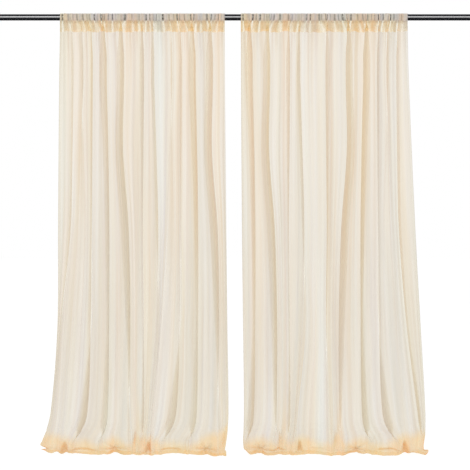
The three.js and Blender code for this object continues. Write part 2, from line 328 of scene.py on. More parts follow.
def smooth_step(start, end, value):
    share = np.clip((np.asarray(value, float) - start) / (end - start), 0, 1)
    return share * share * (3 - 2 * share)


def mix(a, b, share):
    return a + (b - a) * share


def bump(x, middle, width):
    return np.exp(-(((x - middle) / width) ** 2))


def bumps(x, middle, shapes):
    """A sum of bumps, each from its size, its place from the middle and its width."""
    return sum(size * bump(x, middle + aside, width) for size, aside, width in shapes)


def waves(place, shapes, seed):
    """A sum of waves, each from its size, its radians for each unit of place and its seeds of shift."""
    return sum(size * np.sin(turn * place + seeds * seed) for size, turn, seeds in shapes)


def through(stations, values, at):
    """A smooth curve through the values of a table, level beyond its ends."""
    stations = np.asarray(stations, float)
    values = np.asarray(values, float)
    last = len(stations) - 1
    index = np.arange(last + 1)
    after = np.minimum(index + 1, last)
    before = np.maximum(index - 1, 0)
    slopes = (values[after] - values[before]) / (stations[after] - stations[before])
    at = np.clip(np.asarray(at, float), stations[0], stations[-1])
    i = np.clip(np.searchsorted(stations, at, side="right") - 1, 0, last - 1)
    span = stations[i + 1] - stations[i]
    t = (at - stations[i]) / span
    start = values[i] * (1 + 2 * t) * (1 - t) ** 2 + slopes[i] * span * t * (1 - t) ** 2
    end = values[i + 1] * t * t * (3 - 2 * t) - slopes[i + 1] * span * t * t * (1 - t)
    return start + end


def placed_fold(name, shift=0):
    fold = FOLDS[name]
    return {**fold, "x": np.array(fold["x"]) + OUTER_EDGE_X + LIP_SHIFT + shift, "side": 1}


def mirrored_fold(name):
    placed = placed_fold(name)
    return {**placed, "x": 2 * MIRROR_X - placed["x"], "side": -1}


# Each foot: X of the middles of its stars of creases, upright slits and hollows, X of the ends of its
# long level creases, how much higher its warm look reaches at the side edges, and how far its hem
# lifts off the floor at each X
LEFT_FOOT = {
    "stars": [-543, -121],
    "slits": [-451, -40],
    "hollows": [-768, -386],
    "lines": [(-756, -600), (-345, -225)],
    "corners": (48, 44),
    "lifts": [
        *((-880, 22), (-836, 8), (-809, 17), (-780, 9), (-740, 12), (-610, 3), (-565, 4), (-528, 9)),
        *((-500, 3), (-450, 3), (-402, 6), (-370, 2), (-280, 10), (-200, 3), (-150, 0), (0, 0)),
    ],
}
RIGHT_FOOT = {
    "stars": [125, 566],
    "slits": [217, 470],
    "hollows": [307, 787],
    "lines": [(150, 250), (640, 765)],
    "corners": (0, 48),
    "lifts": [
        *((45, 14), (70, 5), (120, 6), (270, 0), (380, 5), (480, 0), (515, 2), (540, 10), (575, 7)),
        *((630, 5), (700, 0), (750, 1), (800, 13), (830, 14), (855, 7), (880, 1), (900, 4)),
    ],
}

# Each panel: X of its side edges at EDGE_DROPS, its folds from left to right, X of its pale lines at
# PALE_DROPS and at the foot, and how far its side edges shift along the foot at FOOT_SHARES
LEFT_PANEL = {
    "name": "curtain_left",
    "left": [-795, -799, -804, -807, -839, -874],
    "right": [-37, -36, -30, -25, -20, -28],
    "folds": [
        *map(placed_fold, ("outer_left", "second", "third", "fourth", "fifth", "sixth", "seventh")),
        *(placed_fold(name, SECOND_GROUP_SHIFT) for name in ("second", "third", "fourth", "fifth")),
    ],
    "pale": [[-772, -768, -723, -752, -762, -788], [-340, -336, -312, -312, -318, -342]],
    "pale_foot": [-580, -491, -170, -87],
    "edges": ([0, 0, -2, -11, 14, 14, -8, -8, 2, 8], [0, 0, -2, -6, -8, -6, -3, -2, -2, -2]),
    "seed": 2.25,
    "foot": LEFT_FOOT,
}
RIGHT_PANEL = {
    "name": "curtain_right",
    "left": [37, 38, 42, 47, 51, 47],
    "right": [804, 810, 840, 864, 886, 884],
    "folds": [
        *(placed_fold(name, THIRD_GROUP_SHIFT) for name in ("fourth", "fifth_right", "sixth", "seventh")),
        *map(mirrored_fold, ("sixth_right", "fifth_right", "fourth", "third", "second", "outer_right")),
    ],
    "pale": [[352, 357, 370, 398, 410, 410], [783, 750, 741, 778, 781, 792]],
    "pale_foot": [162, 530, 640],
    "edges": ([0, 0, 0, 2, 4, 6, 9, 13, 18, 24], [0, 0, -4, -6, -4, 4, 14, 16, 12, 2]),
    "seed": 6.25,
    "foot": RIGHT_FOOT,
}


def fold_corners(panel, drop):
    """The folds' corners from above: x, y, rounding, gathered, columns since the one before, shade."""
    foot = smooth_step(FOOT_START, FOOT_FULL, drop)
    below = mix(SEAM_FOLDED, 1, smooth_step(SEW_DROP, FOLDS_FULL_DROP, drop))
    half_depth = through(FOLD_DROPS, FOLD_HALF_DEPTHS, drop) * mix(SEAM_DEPTH, 1, below)
    corners = [(through(EDGE_DROPS, panel["left"], drop), 0, 0, 1, 0, BAND_SHADE)]
    shades = (LIP_SHADE, WALL_SHADE, TUCK_SHADE, BEHIND_LIP_SHADE)
    lip_shade, wall_shade, tuck_shade, behind_shade = (through(SHADE_DROPS, pair, drop) for pair in shades)

    def add_band(x, y, rounding, gathered, shade):
        before = corners[-1]
        middle_y = (before[1] + y) / 2 + BAND_BELLY * half_depth
        corners.append(((before[0] + x) / 2, middle_y, BAND_ROUNDING, 1, BAND_COLUMNS[0], BAND_SHADE))
        corners.append((x, y, rounding, gathered, BAND_COLUMNS[1], shade))

    for fold in panel["folds"]:
        x = through(FOLD_DROPS, fold["x"], drop)
        hanging = through(FOLD_DROPS, fold["lap"], drop) * below
        lap = mix(hanging, FOOT_LAP, foot)
        closed = smooth_step(OPEN_LAP, CLOSED_LAP, lap)
        doubled = smooth_step(SINGLE_LAP, DOUBLE_LAP, lap)
        wide = mix(NARROW_SHADE, 1, smooth_step(0, WIDE_LAP, lap))
        half = fold["depth"] * half_depth * mix(OPEN_DEPTH, 1, closed)
        reach = fold["side"] * lap / 2
        inset = 1 - OPEN_TURN * (1 - closed)
        turned = half * inset * (1 - TURN_SHARE * closed)
        gathered = (1 - below) ** 3
        behind = x + fold["side"] * (abs(lap) / 2 + BEHIND_LIP)
        line = [
            (x + reach, -half, LIP_ROUNDING, mix(OPEN_LIP_SHADE, lip_shade, doubled)),
            (x + inset * reach, -turned, LIP_ROUNDING, mix(BAND_SHADE, wide * wall_shade, doubled)),
            (x - inset * reach, turned, TURN_ROUNDING, mix(BAND_SHADE, wide * tuck_shade, doubled)),
            (x - reach, half, TURN_ROUNDING, mix(BAND_SHADE, wide * tuck_shade, doubled)),
            (behind, half, TURN_ROUNDING, mix(BAND_SHADE, behind_shade, doubled)),
        ]
        if fold["side"] < 0:
            line.reverse()
        add_band(*line[0][:3], gathered, line[0][3])
        for point, columns in zip(line[1:], FOLD_COLUMNS[::fold["side"]]):
            corners.append((*point[:3], gathered, columns, point[3]))
    add_band(through(EDGE_DROPS, panel["right"], drop), 0, 0, 1, BAND_SHADE)
    return np.array(corners, float)


def rounded_columns(corners):
    """The line of corners, rounded, as columns that follow each band and turn."""
    x, y, rounding, gathered, columns, shade = corners.T
    lengths = np.concatenate([[0], np.cumsum(np.hypot(np.diff(x), np.diff(y)))])
    steps = np.repeat(np.arange(1, len(x)), columns[1:].astype(int))
    shares = np.concatenate([np.arange(1, n + 1) / n for n in columns[1:].astype(int)])
    at = np.concatenate([[0], mix(lengths[steps - 1], lengths[steps], shares)])
    near_rounding = np.concatenate([[0], mix(rounding[steps - 1], rounding[steps], shares)])
    near_gathered = np.concatenate([[gathered[0]], mix(gathered[steps - 1], gathered[steps], shares)])
    reach = np.minimum(near_rounding, np.minimum(at, lengths[-1] - at))
    places = at[:, None] + reach[:, None] * ROUNDING_SHARES
    return (
        np.interp(places, lengths, x).mean(axis=1),
        np.interp(places, lengths, y).mean(axis=1),
        near_gathered,
        np.interp(at, lengths, shade),
    )


def gather_wave(share, seed, lean=0):
    """The gathers at a share of the cloth's width: -1 stands towards the viewer, 1 away."""
    drift = waves(share, GATHER_DRIFT, seed) + lean * (1 + waves(share, GATHER_LEANING, seed)) / 2
    size = GATHER_SIZE + waves(share, GATHER_UNEVEN, seed)
    return size * np.sin(2 * math.pi * GATHERS * share + drift)


def ripple_wave(share, drop, seed):
    """Small creases between the folds, which wander and come and go down the cloth."""
    size = RIPPLE_SIZE + waves(share, RIPPLE_UNEVEN, drop / RIPPLE_PATCH + seed)
    drift = waves(share, RIPPLE_DRIFT, seed) + RIPPLE_SWAY * math.sin(drop / RIPPLE_SWAY_DROP)
    fine = np.sin(2 * math.pi * RIPPLES * share + drift)
    finer_drift = waves(share, FINER_DRIFT, seed) - drop / FINER_DRIFT_DROP
    finer = np.sin(2 * math.pi * FINER_RIPPLES * share + finer_drift)
    return size * (fine + FINER_SIZE * finer)


def gather_weight(drop):
    fading = GATHER_REST + (1 - GATHER_REST) * math.exp((SEW_DROP - drop) / GATHER_FADE)
    return mix(fading, FOOT_PUCKERS, smooth_step(FOOT_START, FOOT_FULL, drop))


def with_shares(panel):
    """The panel with each column's share of the cloth's width."""
    x, y, _, _ = rounded_columns(fold_corners(panel, SEW_DROP))
    run = np.concatenate([[0], np.cumsum(np.hypot(np.diff(x), np.diff(y)))])
    return {**panel, "share": run / run[-1]}


def plan_curve(panel, drop):
    """The cloth seen from above at one drop, deepened until it takes up the cloth's whole width."""
    folded_x, folded_y, gathered, shade = rounded_columns(fold_corners(panel, drop))
    share = panel["share"]
    left = through(EDGE_DROPS, panel["left"], drop)
    right = through(EDGE_DROPS, panel["right"], drop)
    place = mix(SEAM_PLACE, 1, smooth_step(SEW_DROP, FOLDS_FULL_DROP, drop))
    x = mix(mix(left, right, share), folded_x, place)
    y = folded_y + GATHER_DEPTH * gather_weight(drop) * gathered * gather_wave(share, panel["seed"])
    y = y + RIPPLE_DEPTH * ripple_wave(share, drop, panel["seed"])
    low, high = LEAST_DEPTH, MOST_DEPTH
    for _ in range(DEPTH_HALVINGS):
        deep = (low + high) / 2
        if np.hypot(np.diff(x), deep * np.diff(y)).sum() < CLOTH_WIDTH:
            low = deep
        else:
            high = deep
    return x, y * low, shade


def body_rows(panel):
    rows = []
    for drop in BODY_DROPS:
        x, y, shade = plan_curve(panel, drop)
        rows.append(np.stack([x, y, np.full_like(x, -drop), shade], axis=1))
    return rows


def crumples(x, height, seed):
    """Soft creases in all directions, mostly upright."""
    random = np.random.default_rng(int(100 * seed))
    total = np.zeros_like(x)
    for _ in range(CRUMPLES):
        along = 2 * math.pi / random.uniform(*CRUMPLE_LENGTHS)
        up = random.uniform(-CRUMPLE_LEAN, CRUMPLE_LEAN) * along
        strength = random.uniform(LEAST_CRUMPLE, 1)
        total += strength * np.sin(along * x + up * height + random.uniform(0, CRUMPLE_SHIFT))
    return 2 * total / math.sqrt(CRUMPLES)


def star_rays(x, height, middle):
    """The creases round a star's middle: 1 on a ridge and -1 in a valley."""
    turn = np.arctan2(STAR_STRETCH * (height - STAR_HEIGHT), x - middle)
    return np.cos(STAR_RAYS * turn + middle)


def slit_middle(middle, height):
    return middle + SLIT_LEAN * (height - SLIT_HEIGHT)


def foot_dents(foot, x, height):
    """How far the foot's stars, slits and hollows push the cloth forward at a height."""
    forward = np.zeros_like(x)
    for middle in foot["stars"]:
        out = np.hypot(x - middle, STAR_STRETCH * (height - STAR_HEIGHT))
        rays = RAY_DEPTH * star_rays(x, height, middle) * (out / RAY_START) * bump(out, 0, RAY_REACH)
        pit = STAR_PIT * bump(out, 0, STAR_PIT_WIDTH)
        forward += smooth_step(*STAR_BOTTOM, height) * (rays - pit)
    for middle in foot["slits"]:
        tall = bump(height, SLIT_HEIGHT, SLIT_TALL)
        forward += tall * bumps(x, slit_middle(middle, height), SLIT_BUMPS)
    for middle in foot["hollows"]:
        tall = smooth_step(*HOLLOW_TOP, height) * smooth_step(*HOLLOW_BOTTOM, height)
        wide = HOLLOW_WIDTH + HOLLOW_FLARE * np.maximum(HOLLOW_FLARE_TOP - height, 0)
        forward += tall * (bumps(x, middle, HOLLOW_BUMPS) - HOLLOW_PIT * bump(x, middle, wide))
    return forward


def foot_crease_shades(foot, x, height):
    """How deep a shade the foot's stars, slits, hollows and long creases have, from 0 to 1."""

    def spot(middle, level, widths):
        return bump(x, middle, widths[0]) * bump(height, level, widths[1])

    shade_spots = []
    for middle in foot["stars"]:
        rays = (1 + star_rays(x, height, middle)) / 2
        shade_spots.append(spot(middle, STAR_HEIGHT, STAR_DARK))
        shade_spots.append(RAYS_SHADE * rays * spot(middle, STAR_HEIGHT, RAYS_DARK))
    for middle in foot["slits"]:
        shade_spots.append(SLIT_SHADE * spot(slit_middle(middle, height), SLIT_HEIGHT, SLIT_DARK))
    for middle in foot["hollows"]:
        wide = mix(*HOLLOW_DARK_WIDTHS, smooth_step(*HOLLOW_DARK_FLARE, height))
        tall = smooth_step(*HOLLOW_DARK_TOP, height) * smooth_step(*HOLLOW_DARK_BOTTOM, height)
        shade_spots.append(tall * bump(x, middle, wide))
    for start, end in foot["lines"]:
        span = end - start
        along = smooth_step(span / 2, span / 5, np.abs(x - (start + end) / 2))
        level = LINE_HEIGHT + LINE_SWING * np.sin((x - start) / LINE_SWING_LENGTH)
        shade_spots.append(LINE_SHADE * along * bump(height, level, LINE_WIDTH))
    return np.max(shade_spots, axis=0)


def foot_rows(panel):
    """Rows of the cloth that breaks forward on the floor, from the last hanging row to the hem."""
    rows = []
    foot, seed = panel["foot"], panel["seed"]
    lift_at, lifts = zip(*foot["lifts"])
    outlines = ((PLAIN_HEIGHTS, TUCK_HEIGHTS), (PLAIN_FORWARD, TUCK_FORWARD))
    for share in np.linspace(0, 1, FOOT_ROWS + 1)[1:]:
        drop = mix(BODY_DROPS[-1], FOOT_FULL, min(share / FOLDS_SETTLE_BY, 1))
        x, y, shade = plan_curve(panel, drop)
        tucked = np.clip(TUCKED + waves(x, TUCK_WAVES, seed), 0, MOST_TUCKED)
        for middle in foot["stars"]:
            tucked = mix(tucked, STAR_TUCKED, bump(x, middle, STAR_TUCK_WIDTH))
        height, forward = (
            mix(through(FOOT_SHARES, plain, share), through(FOOT_SHARES, tuck, share), tucked)
            for plain, tuck in outlines
        )
        height = height + math.sin(math.pi * share) * waves(x, RISE_WAVES, seed)
        height = height + through(lift_at, lifts, x) * smooth_step(*HEM_LIFTS_FROM, share)
        reach = smooth_step(*SPREAD_FROM, share)
        forward = forward + reach * waves(x, SPREAD_WAVES, seed)
        crumpled = CRUMPLE_DEPTH * smooth_step(*CRUMPLES_FROM, share)
        forward = forward + crumpled * crumples(x, height, seed)
        for middle in foot["stars"]:
            forward = forward + reach * bumps(x, middle, STAR_FOLDS)
        forward = forward + foot_dents(foot, x, height) * smooth_step(*DENTS_FROM, share)
        for edge, moved in zip((x[0], x[-1]), panel["edges"]):
            x = x + through(FOOT_SHARES, moved, share) * bump(x, edge, EDGE_WIDTH)
        flattened = mix(1, FLATTENED, smooth_step(*FLATTENS_FROM, share))
        height = np.maximum(height, LOWEST)
        rows.append(np.stack([x, y * flattened - forward, height - FLOOR_DROP, shade], axis=1))
    return rows


def pocket_rows(panel, seam):
    """Rows from the pocket's seam up its front to its top, and from there down its back."""
    share, seed = panel["share"], panel["seed"]
    even = mix(panel["left"][0], panel["right"][0], share)
    last = len(POCKET_DEPTHS) - 1
    stations = np.arange(last + 1)
    places = np.linspace(0, last, last * POCKET_STEPS + 1)
    rows = []
    for side, along in ((-1, places[:-1]), (1, places[::-1])):
        for place in along:
            depth = through(stations, POCKET_DEPTHS, place)
            height = through(stations, POCKET_HEIGHTS, place)
            ruffle = through(stations, POCKET_RUFFLES, place)
            lift = min((height + SEW_DROP) / SEW_DROP, 1)
            wave = gather_wave(share, seed, GATHER_LEAN * height / ROD_RADIUS)
            stands = (1 + side * wave) / 2
            away = np.array([side * depth, max(height, 0)])
            away = away / max(np.hypot(*away), TINY)
            x = mix(seam[:, 0], even, POCKET_SPREAD * smooth_step(0, 1, lift))
            at_seam = seam[:, 1] + side * POCKET_SEAM_GAP
            y = mix(side * depth + away[0] * ruffle * stands, at_seam, smooth_step(1, 0, place))
            z = height + away[1] * ruffle * stands
            over = smooth_step(HEADING_BELOW, HEADING_ABOVE, height)
            gathers = mix(*GATHER_SHADE, over) * wave
            ripples = mix(*RIPPLE_SHADE, over) * ripple_wave(share, height, seed)
            fine = FINE_SHADE * over * gather_wave(FINE_GATHERS * share, seed + 1)
            creased = np.maximum(1 - gathers + ripples + fine, mix(*LEAST_SHADE, over))
            shade = mix(seam[:, 3], 1, EVEN_SHADE * lift) * creased
            rows.append(np.stack([x, y, z, shade], axis=1))
    return rows


def grid_normals(grid):
    down = np.gradient(grid, axis=0)
    along = np.gradient(grid, axis=1)
    normals = np.cross(down, along)
    return normals / np.maximum(np.linalg.norm(normals, axis=2, keepdims=True), TINY)


def mesh_object(name, points, faces, material):
    """A smooth mesh of points in millimetres, linked to the scene."""
    mesh = bpy.data.meshes.new(name)
    mesh.from_pydata((np.asarray(points) * MM).tolist(), [], np.asarray(faces).tolist())
    mesh.polygons.foreach_set("use_smooth", np.ones(len(faces), bool))
    mesh.materials.append(material)
    obj = bpy.data.objects.new(name, mesh)
    bpy.context.collection.objects.link(obj)
    return obj


def grid_faces(rows, columns):
    index = np.arange(rows * columns).reshape(rows, columns)
    corners = [index[:-1, :-1], index[1:, :-1], index[1:, 1:], index[:-1, 1:]]
    return np.stack(corners, axis=2).reshape(-1, 4)


def grid_object(name, sheet, material):
    """A sheet through rows of points: x, y, z, cover, tone, streaks and the place on the flat cloth."""
    faces = grid_faces(*sheet.shape[:2])
    points = sheet.reshape(-1, sheet.shape[2])
    obj = mesh_object(name, points[:, :3], faces, material)
    cover = obj.data.attributes.new("cover", "FLOAT", "POINT")
    cover.data.foreach_set("value", points[:, 3].astype(np.float32))
    tone = obj.data.attributes.new("tone", "FLOAT_COLOR", "POINT")
    tone.data.foreach_set("color", points[:, 4:8].astype(np.float32).reshape(-1))
    flat = points[:, 8:10][faces.reshape(-1)] * MM
    layer = obj.data.uv_layers.new(name="cloth")
    layer.data.foreach_set("uv", flat.astype(np.float32).reshape(-1))
    return obj


def turned_hem(sheet, distances, shade):
    """Rows that double the sheet's last rows behind it, at distances back from its edge."""
    steps = np.linalg.norm(np.diff(sheet[::-1, :, :3], axis=0), axis=2)
    run = np.concatenate([np.zeros((1, sheet.shape[1])), np.cumsum(steps, axis=0)])
    hem = np.empty((len(distances), *sheet.shape[1:]))
    for column in range(sheet.shape[1]):
        for part in range(sheet.shape[2]):
            hem[:, column, part] = np.interp(distances, run[:, column], sheet[::-1, column, part])
    hem[:, :, 1] += np.minimum(np.array(distances), HEM_GAP)[:, None]
    hem[:, :, 3] *= shade
    return hem


def with_hems(sheet):
    """The sheet with its foot hem and both side hems turned behind it."""
    sheet = np.concatenate([sheet, turned_hem(sheet, FOOT_HEM, FOOT_HEM_SHADE)])
    across = sheet.transpose(1, 0, 2)
    right = turned_hem(across, SIDE_HEM, SIDE_HEM_SHADE)
    left = turned_hem(across[::-1], SIDE_HEM, SIDE_HEM_SHADE)
    return np.concatenate([left[::-1], across, right]).transpose(1, 0, 2)


def warm_height(panel, x):
    """How high over the floor the cloth's warm, doubled look and its painted warm bounce light reach."""
    foot = panel["foot"]
    reach = WARM_REACH + waves(x, WARM_WAVES, 1)
    for kind, shape in WARM_OVER.items():
        for middle in foot[kind]:
            reach = reach + bumps(x, middle, [shape])
    for edge, more in zip((panel["left"][-1], panel["right"][-1]), foot["corners"]):
        reach = reach + more * bump(x, edge, WARM_CORNER_WIDTH)
    return reach


def smoothed(values, passes):
    for _ in range(passes):
        for axis in (0, 1):
            padded = np.concatenate([values.take([0], axis), values, values.take([-1], axis)], axis)
            before, after = np.split(padded, [-2], axis)[0], np.split(padded, [2], axis)[1]
            values = (before + 2 * values + after) / 4
    return values


def foot_zones(panel, grid):
    """Each place's share of the foot's warm look and painted bounce light, and of painted crease shade."""
    x, depth, height = grid.transpose(2, 0, 1)
    above_floor = height + FLOOR_DROP
    warm = warm_height(panel, x)
    foot = smooth_step(warm + FOOT_FADE[0], warm + FOOT_FADE[1], above_floor)
    beside = sum(bumps(x, middle, BESIDE_SLIT) for middle in panel["foot"]["slits"])
    foot = np.maximum(foot, beside * smooth_step(*BESIDE_SLIT_TOP, above_floor))
    # Painted shade in recesses, where the cloth lies further back than its smoothed neighbours
    pit_shade = PIT_SHADE_SHARE * smooth_step(*PIT_DEPTHS, depth - smoothed(depth, PIT_PASSES)) * foot
    return foot, np.maximum(pit_shade, foot_crease_shades(panel["foot"], x, above_floor))


def slope_layers(grid, low):
    """How many flat layers a place looks as thick as by its slope alone."""
    facing = np.maximum(np.abs(grid_normals(grid)[:, :, 1]), STEEPEST)
    slope = np.sqrt(1 / facing**2 - 1)
    return np.minimum(np.sqrt(1 + (SLOPE_GAIN * slope) ** 2), mix(MOST_LAYERS, LOW_LAYERS, low))


def pale_zones(panel, x, height):
    """How much each place belongs to the pale lines, of the whole panel and of its foot."""
    lines = sum(bump(x, through(PALE_DROPS, line, -height), PALE_WIDTH) for line in panel["pale"])
    at_foot = sum(bump(x, middle, PALE_FOOT_WIDTH) for middle in panel["pale_foot"])
    below = smooth_step(*PALE_FOOT_FROM, height)
    return np.maximum(PALE_SHARE * lines, PALE_FOOT_SHARE * at_foot * below)


def cloth_look(panel, grid, shade):
    """How much light each place stops, its tone and how streaky it is, from slope, fold and height."""
    x, height = grid[:, :, 0], grid[:, :, 2]
    low = smooth_step(*LOW_FROM, height)
    pocket = smooth_step(-FIRST_DROP, -SEW_DROP, height)
    below_rod = smooth_step(HEADING_ABOVE, HEADING_BELOW, height)
    heading, over_rod = pocket * below_rod, pocket * (1 - below_rod)
    foot, crease_shade = foot_zones(panel, grid)
    layers = slope_layers(grid, low) * shade

    base = mix(SHEER_BASE, LOW_BASE, low)
    heading_base = mix(HEADING_BASE, HEADING_TOP_BASE, smooth_step(*HEADING_RISE, height))
    rod_base = mix(ROD_BASE, ROD_TOP_BASE, smooth_step(*ROD_RISE, height))
    for zone, other in ((heading, heading_base), (over_rod, rod_base), (foot, FOOT_BASE)):
        base = mix(base, other, zone)
    # The painted crease shade also makes the creases stop more light
    cover = 1 - (1 - base) ** (layers * (1 + CREASE_SHADE_LAYERS * crease_shade))

    tone = mix(BODY_TONE, LOW_TONE, low[:, :, None])
    heading_tone = mix(HEADING_LIGHT, HEADING_DEEP, smooth_step(*DEEP_LAYERS, layers)[:, :, None])
    for zone, other in (
        (heading, heading_tone),
        (pale_zones(panel, x, height), PALE_TONE),
        (over_rod, ROD_TONE),
        # Painted warm bounce light on the foot
        (foot, FOOT_TONE_AND_BOUNCE),
        # Painted shade in the foot's creases
        (crease_shade, CREASE_SHADE_TONE),
    ):
        tone = mix(tone, other, zone[:, :, None])
    streaks = 1 - CALMED * np.maximum(foot, pocket)
    return np.concatenate([cover[:, :, None], tone, streaks[:, :, None]], axis=2)


def line_along(sheet, distance):
    """Points of a line that runs along the sheet's last row, at a distance back from it."""
    return turned_hem(sheet, [distance], 1)[0, :, :3] - [0, min(distance, HEM_GAP), 0]


def unit(vectors):
    return vectors / np.maximum(np.linalg.norm(vectors, axis=1, keepdims=True), TINY)


def stitched(line):
    """Corners and faces of the stitches along a line of points: slim spindles of thread."""
    run = np.concatenate([[0], np.cumsum(np.linalg.norm(np.diff(line, axis=0), axis=1))])
    starts = np.arange(STITCH_PITCH, run[-1] - 2 * STITCH_PITCH, STITCH_PITCH)
    start, end = (
        np.stack([np.interp(at, run, part) for part in line.T], axis=1)
        for at in (starts, starts + STITCH_LENGTH)
    )
    along = unit(end - start)
    forward = np.broadcast_to([0.0, -1.0, 0.0], along.shape)
    aside = unit(np.cross(along, forward))
    middle = (start + end) / 2 + THREAD_LIFT * forward
    ring = [middle + THREAD_RADIUS * side for side in (aside, forward, -aside, -forward)]
    corners = [start, *ring, end]
    sides = len(ring)
    spindle = []
    for k in range(1, sides + 1):
        after = k % sides + 1
        spindle += [(0, after, k), (sides + 1, k, after)]
    faces = np.arange(len(starts))[:, None, None] * len(corners) + np.array(spindle)
    return np.stack(corners, axis=1).reshape(-1, 3), faces.reshape(-1, 3)


def make_stitches(name, lines, material):
    points, faces, count = [], [], 0
    for line in lines:
        line_points, line_faces = stitched(line)
        points.append(line_points)
        faces.append(line_faces + count)
        count += len(line_points)
    return mesh_object(name, np.concatenate(points), np.concatenate(faces), material)


def make_curtain(panel, material, thread):
    """One panel's cloth, from its pocket to its foot hem, and its sewing."""
    seam_x, seam_y, seam_shade = plan_curve(panel, SEW_DROP)
    seam = np.stack([seam_x, seam_y, np.full_like(seam_x, -SEW_DROP), seam_shade], axis=1)
    pocket = pocket_rows(panel, seam)
    rows = np.array([*pocket[::-1], *body_rows(panel), *foot_rows(panel)])
    grid, shade = rows[:, :, :3], rows[:, :, 3]
    grid[:, :, 0] = CAMERA_X + (grid[:, :, 0] - CAMERA_X) * (1 + grid[:, :, 1] / CAMERA_DISTANCE)
    steps = np.linalg.norm(np.diff(grid, axis=0), axis=2).mean(axis=1)
    down = -np.concatenate([[0], np.cumsum(steps)])
    flat = np.stack(np.meshgrid(panel["share"] * CLOTH_WIDTH, down), axis=2)
    sheet = np.concatenate([grid, cloth_look(panel, grid, shade), flat], axis=2)
    cloth = grid_object(panel["name"] + "_cloth", with_hems(sheet), material)
    across = sheet.transpose(1, 0, 2)
    lines = [
        sheet[len(pocket) - 1, :, :3],
        line_along(sheet, FOOT_SEAM),
        line_along(across, SIDE_SEAM),
        line_along(across[::-1], SIDE_SEAM),
    ]
    return cloth, make_stitches(panel["name"] + "_stitches", lines, thread)


def new_material(name):
    material = bpy.data.materials.new(name)
    material.use_nodes = True
    material.node_tree.nodes.clear()
    return material, material.node_tree


def node_adder(tree):
    """A function that adds a shader node and sets or links its sockets, i0, i1 ... by their number."""

    def add(kind, settings=None, **inputs):
        made = tree.nodes.new("ShaderNode" + kind)
        for key, value in (settings or {}).items():
            setattr(made, key, value)
        for key, value in inputs.items():
            socket = made.inputs[int(key[1:]) if key[0] == "i" else key]
            if isinstance(value, bpy.types.NodeSocket):
                tree.links.new(value, socket)
            else:
                socket.default_value = value
        return made

    return add


def spread(add, value, span, result=(0.0, 1.0)):
    """A value's span spread out over the result's, and held level beyond it."""
    ends = {"i1": span[0], "i2": span[1], "i3": result[0], "i4": result[1]}
    return add("MapRange", i0=value, **ends).outputs["Result"]


def blend(add, share, one, other):
    return add("MixRGB", i0=share, i1=one, i2=other).outputs["Color"]


def tinted(add, colour, tint):
    return add("MixRGB", {"blend_type": "MULTIPLY"}, i0=1.0, i1=colour, i2=tint).outputs["Color"]


def calculated(add, operation, *values, clamped=False):
    sockets = {f"i{number}": value for number, value in enumerate(values)}
    return add("Math", {"operation": operation, "use_clamp": clamped}, **sockets).outputs["Value"]


# The chiffon's streaks along the warp and its slubs: how many to a metre across and down, how fine
# and their seed, then the spans of them that count and how much light they stop. Reliefs are in metres.
THICK_STREAKS = (75, 0.9, 4, 3.1)
WARM_STREAKS = (15, 0.35, 5, 8.7)
ROSY_STREAKS = (19, 0.3, 3, 5.3)
SLUBS = (900, 1400, 2, 1.3)
STREAK_SPAN = (0.3, 0.7)
WARM_SPAN = (0.38, 0.62)
ROSY_SPAN = (0.4, 0.6)
STREAK_GAIN = (0.8, 1.3)
SLUB_GAIN = (0.94, 1.06)
WEAVE_SCALE = 350.0
WEAVE_RELIEF = 0.00012
PALE_TINT = (0.94, 1.0, 1.1, 1)
PEACH_TINT = (1.06, 0.98, 0.86, 1)
ROSY_TINT = (1.02, 0.975, 1.01, 1)
YELLOW_TINT = (1.0, 1.01, 0.97, 1)
SIFTED_LIGHT = (1.0, 0.955, 0.65, 1)


